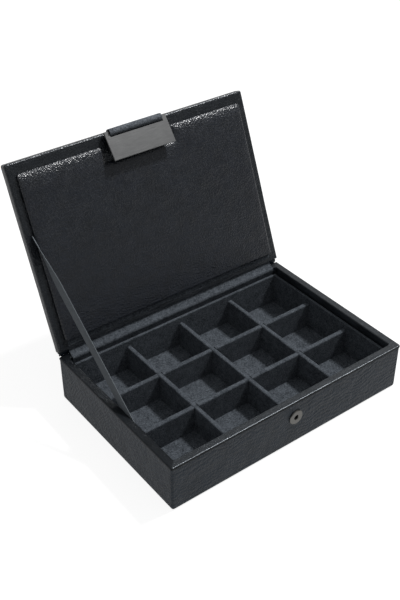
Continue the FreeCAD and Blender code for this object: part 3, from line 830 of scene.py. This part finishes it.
ribbon_low, ribbon_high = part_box("stay_ribbon")
ribbon_x = (ribbon_low.x + ribbon_high.x) / 2
ribbon_foot = Vector((ribbon_x, RIBBON_FOOT_Y, RIBBON_FOOT_Z))
ribbon_top = opened(ribbon_x / MM, RIBBON_LID_Y, LID_INNER_Z)
ribbon = stay_ribbon(ribbon_foot, ribbon_top)
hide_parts("stay_ribbon")
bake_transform(ribbon)

# ---------------------------------------------------------------- floor, light and camera
WHITE = (1.0, 1.0, 1.0, 1.0)
FLOOR_REACH, FLOOR_TONE = 6.0, 0.24
# How bright the floor looks in metal and glass, and to the camera; 1 is white
FLOOR_MIRRORED, FLOOR_SEEN = 0.31, 0.88
KEY_PLACE, KEY_AIM = Vector((1.10, -0.14, 1.90)), Vector((0.0, 0.02, 0.05))
KEY_SIZE, KEY_POWER, KEY_COLOUR = 0.24, 39.0, (1.0, 0.99, 0.98)
CAMERA_AZIMUTH, CAMERA_ELEVATION, CAMERA_ROLL = map(math.radians, (36.860, 35.846, -0.2314))
CAMERA_DISTANCE, CAMERA_TARGET = 0.60053, Vector((-0.005508, 0.024992, 0.0619))
CAMERA_LENS, CAMERA_SENSOR = 57.015, 36.0


def paper_floor():
    """White paper under the box, which keeps the box's shadow."""
    f = Finish("floor_paper")
    seen = f.node("ShaderNodeLightPath").outputs
    mirrored = f.maths("MAXIMUM", seen["Is Glossy Ray"], seen["Is Transmission Ray"])
    glow = f.maths("MAXIMUM", f.maths("MULTIPLY", mirrored, FLOOR_MIRRORED),
                   f.maths("MULTIPLY", seen["Is Camera Ray"], FLOOR_SEEN))
    f.set(base=(FLOOR_TONE, FLOOR_TONE, FLOOR_TONE, 1.0), rough=0.9, specular=0.1, glow_colour=WHITE,
          glow=glow)
    r = FLOOR_REACH
    mesh = bpy.data.meshes.new("floor")
    mesh.from_pydata([(-r, -r, 0), (r, -r, 0), (r, r, 0), (-r, r, 0)], [], [(0, 1, 2, 3)])
    mesh.materials.append(f.material)
    floor = bpy.data.objects.new("floor", mesh)
    bpy.context.scene.collection.objects.link(floor)


def studio_room():
    """A white wall stands behind the box, as metal and leather see it; overhead and in front of it the
    room is dim, and the camera sees white."""
    world = bpy.data.worlds.new("studio")
    bpy.context.scene.world = world
    world.use_nodes = True
    n = Nodes(world.node_tree)
    path = n.node("ShaderNodeLightPath").outputs
    toward = n.parts(n.node("ShaderNodeTexCoord").outputs["Generated"])
    wall = n.maths("MULTIPLY", n.ramp(toward["Y"], -0.2, 0.6, 0.0, 0.86, smooth=True),
                   n.ramp(toward["Z"], 0.15, 0.50, 1.0, 0.0, smooth=True))
    room = n.ramp(toward["Z"], 0.0, 0.6, 0.06, 0.30, smooth=True)
    overhead = n.ramp(toward["Z"], 0.0, 1.0, 0.08, 0.55, smooth=True)
    seen = n.maths("MAXIMUM", path["Is Camera Ray"], path["Is Transmission Ray"])
    mirrored = n.maths("MULTIPLY", path["Is Glossy Ray"], n.maths("ADD", wall, room))
    lighting = n.maths("MULTIPLY", path["Is Diffuse Ray"], overhead)
    background = n.tree.nodes["Background"]
    n.feed(background.inputs["Color"], WHITE)
    n.feed(background.inputs["Strength"], n.maths("MAXIMUM", n.maths("MAXIMUM", seen, mirrored), lighting))


def key_light():
    lamp = bpy.data.lights.new("key", "AREA")
    lamp.shape = "DISK"
    lamp.size, lamp.energy, lamp.color = KEY_SIZE, KEY_POWER, KEY_COLOUR
    key = bpy.data.objects.new("key", lamp)
    key.location = KEY_PLACE
    key.rotation_mode = "QUATERNION"
    key.rotation_quaternion = (KEY_PLACE - KEY_AIM).to_track_quat("Z", "Y")
    bpy.context.scene.collection.objects.link(key)


def set_camera():
    """Places the camera by its angles, its distance and the point that it looks at."""
    level = math.cos(CAMERA_ELEVATION)
    back = Vector((-math.sin(CAMERA_AZIMUTH) * level, -math.cos(CAMERA_AZIMUTH) * level,
                   math.sin(CAMERA_ELEVATION)))
    flat = Vector((math.cos(CAMERA_AZIMUTH), -math.sin(CAMERA_AZIMUTH), 0.0))
    upright = back.cross(flat)
    c, s = math.cos(CAMERA_ROLL), math.sin(CAMERA_ROLL)
    turn = Matrix((flat * c + upright * s, upright * c - flat * s, back)).transposed().to_4x4()
    camera = bpy.data.objects.new("camera", bpy.data.cameras.new("camera"))
    camera.data.sensor_width = CAMERA_SENSOR
    camera.data.lens = CAMERA_LENS
    camera.data.clip_start, camera.data.clip_end = 0.01, 50.0
    camera.matrix_world = Matrix.Translation(CAMERA_TARGET + back * CAMERA_DISTANCE) @ turn
    bpy.context.scene.collection.objects.link(camera)
    bpy.context.scene.camera = camera


paper_floor()
studio_room()
key_light()
set_camera()
bpy.context.scene.view_settings.view_transform = "Standard"
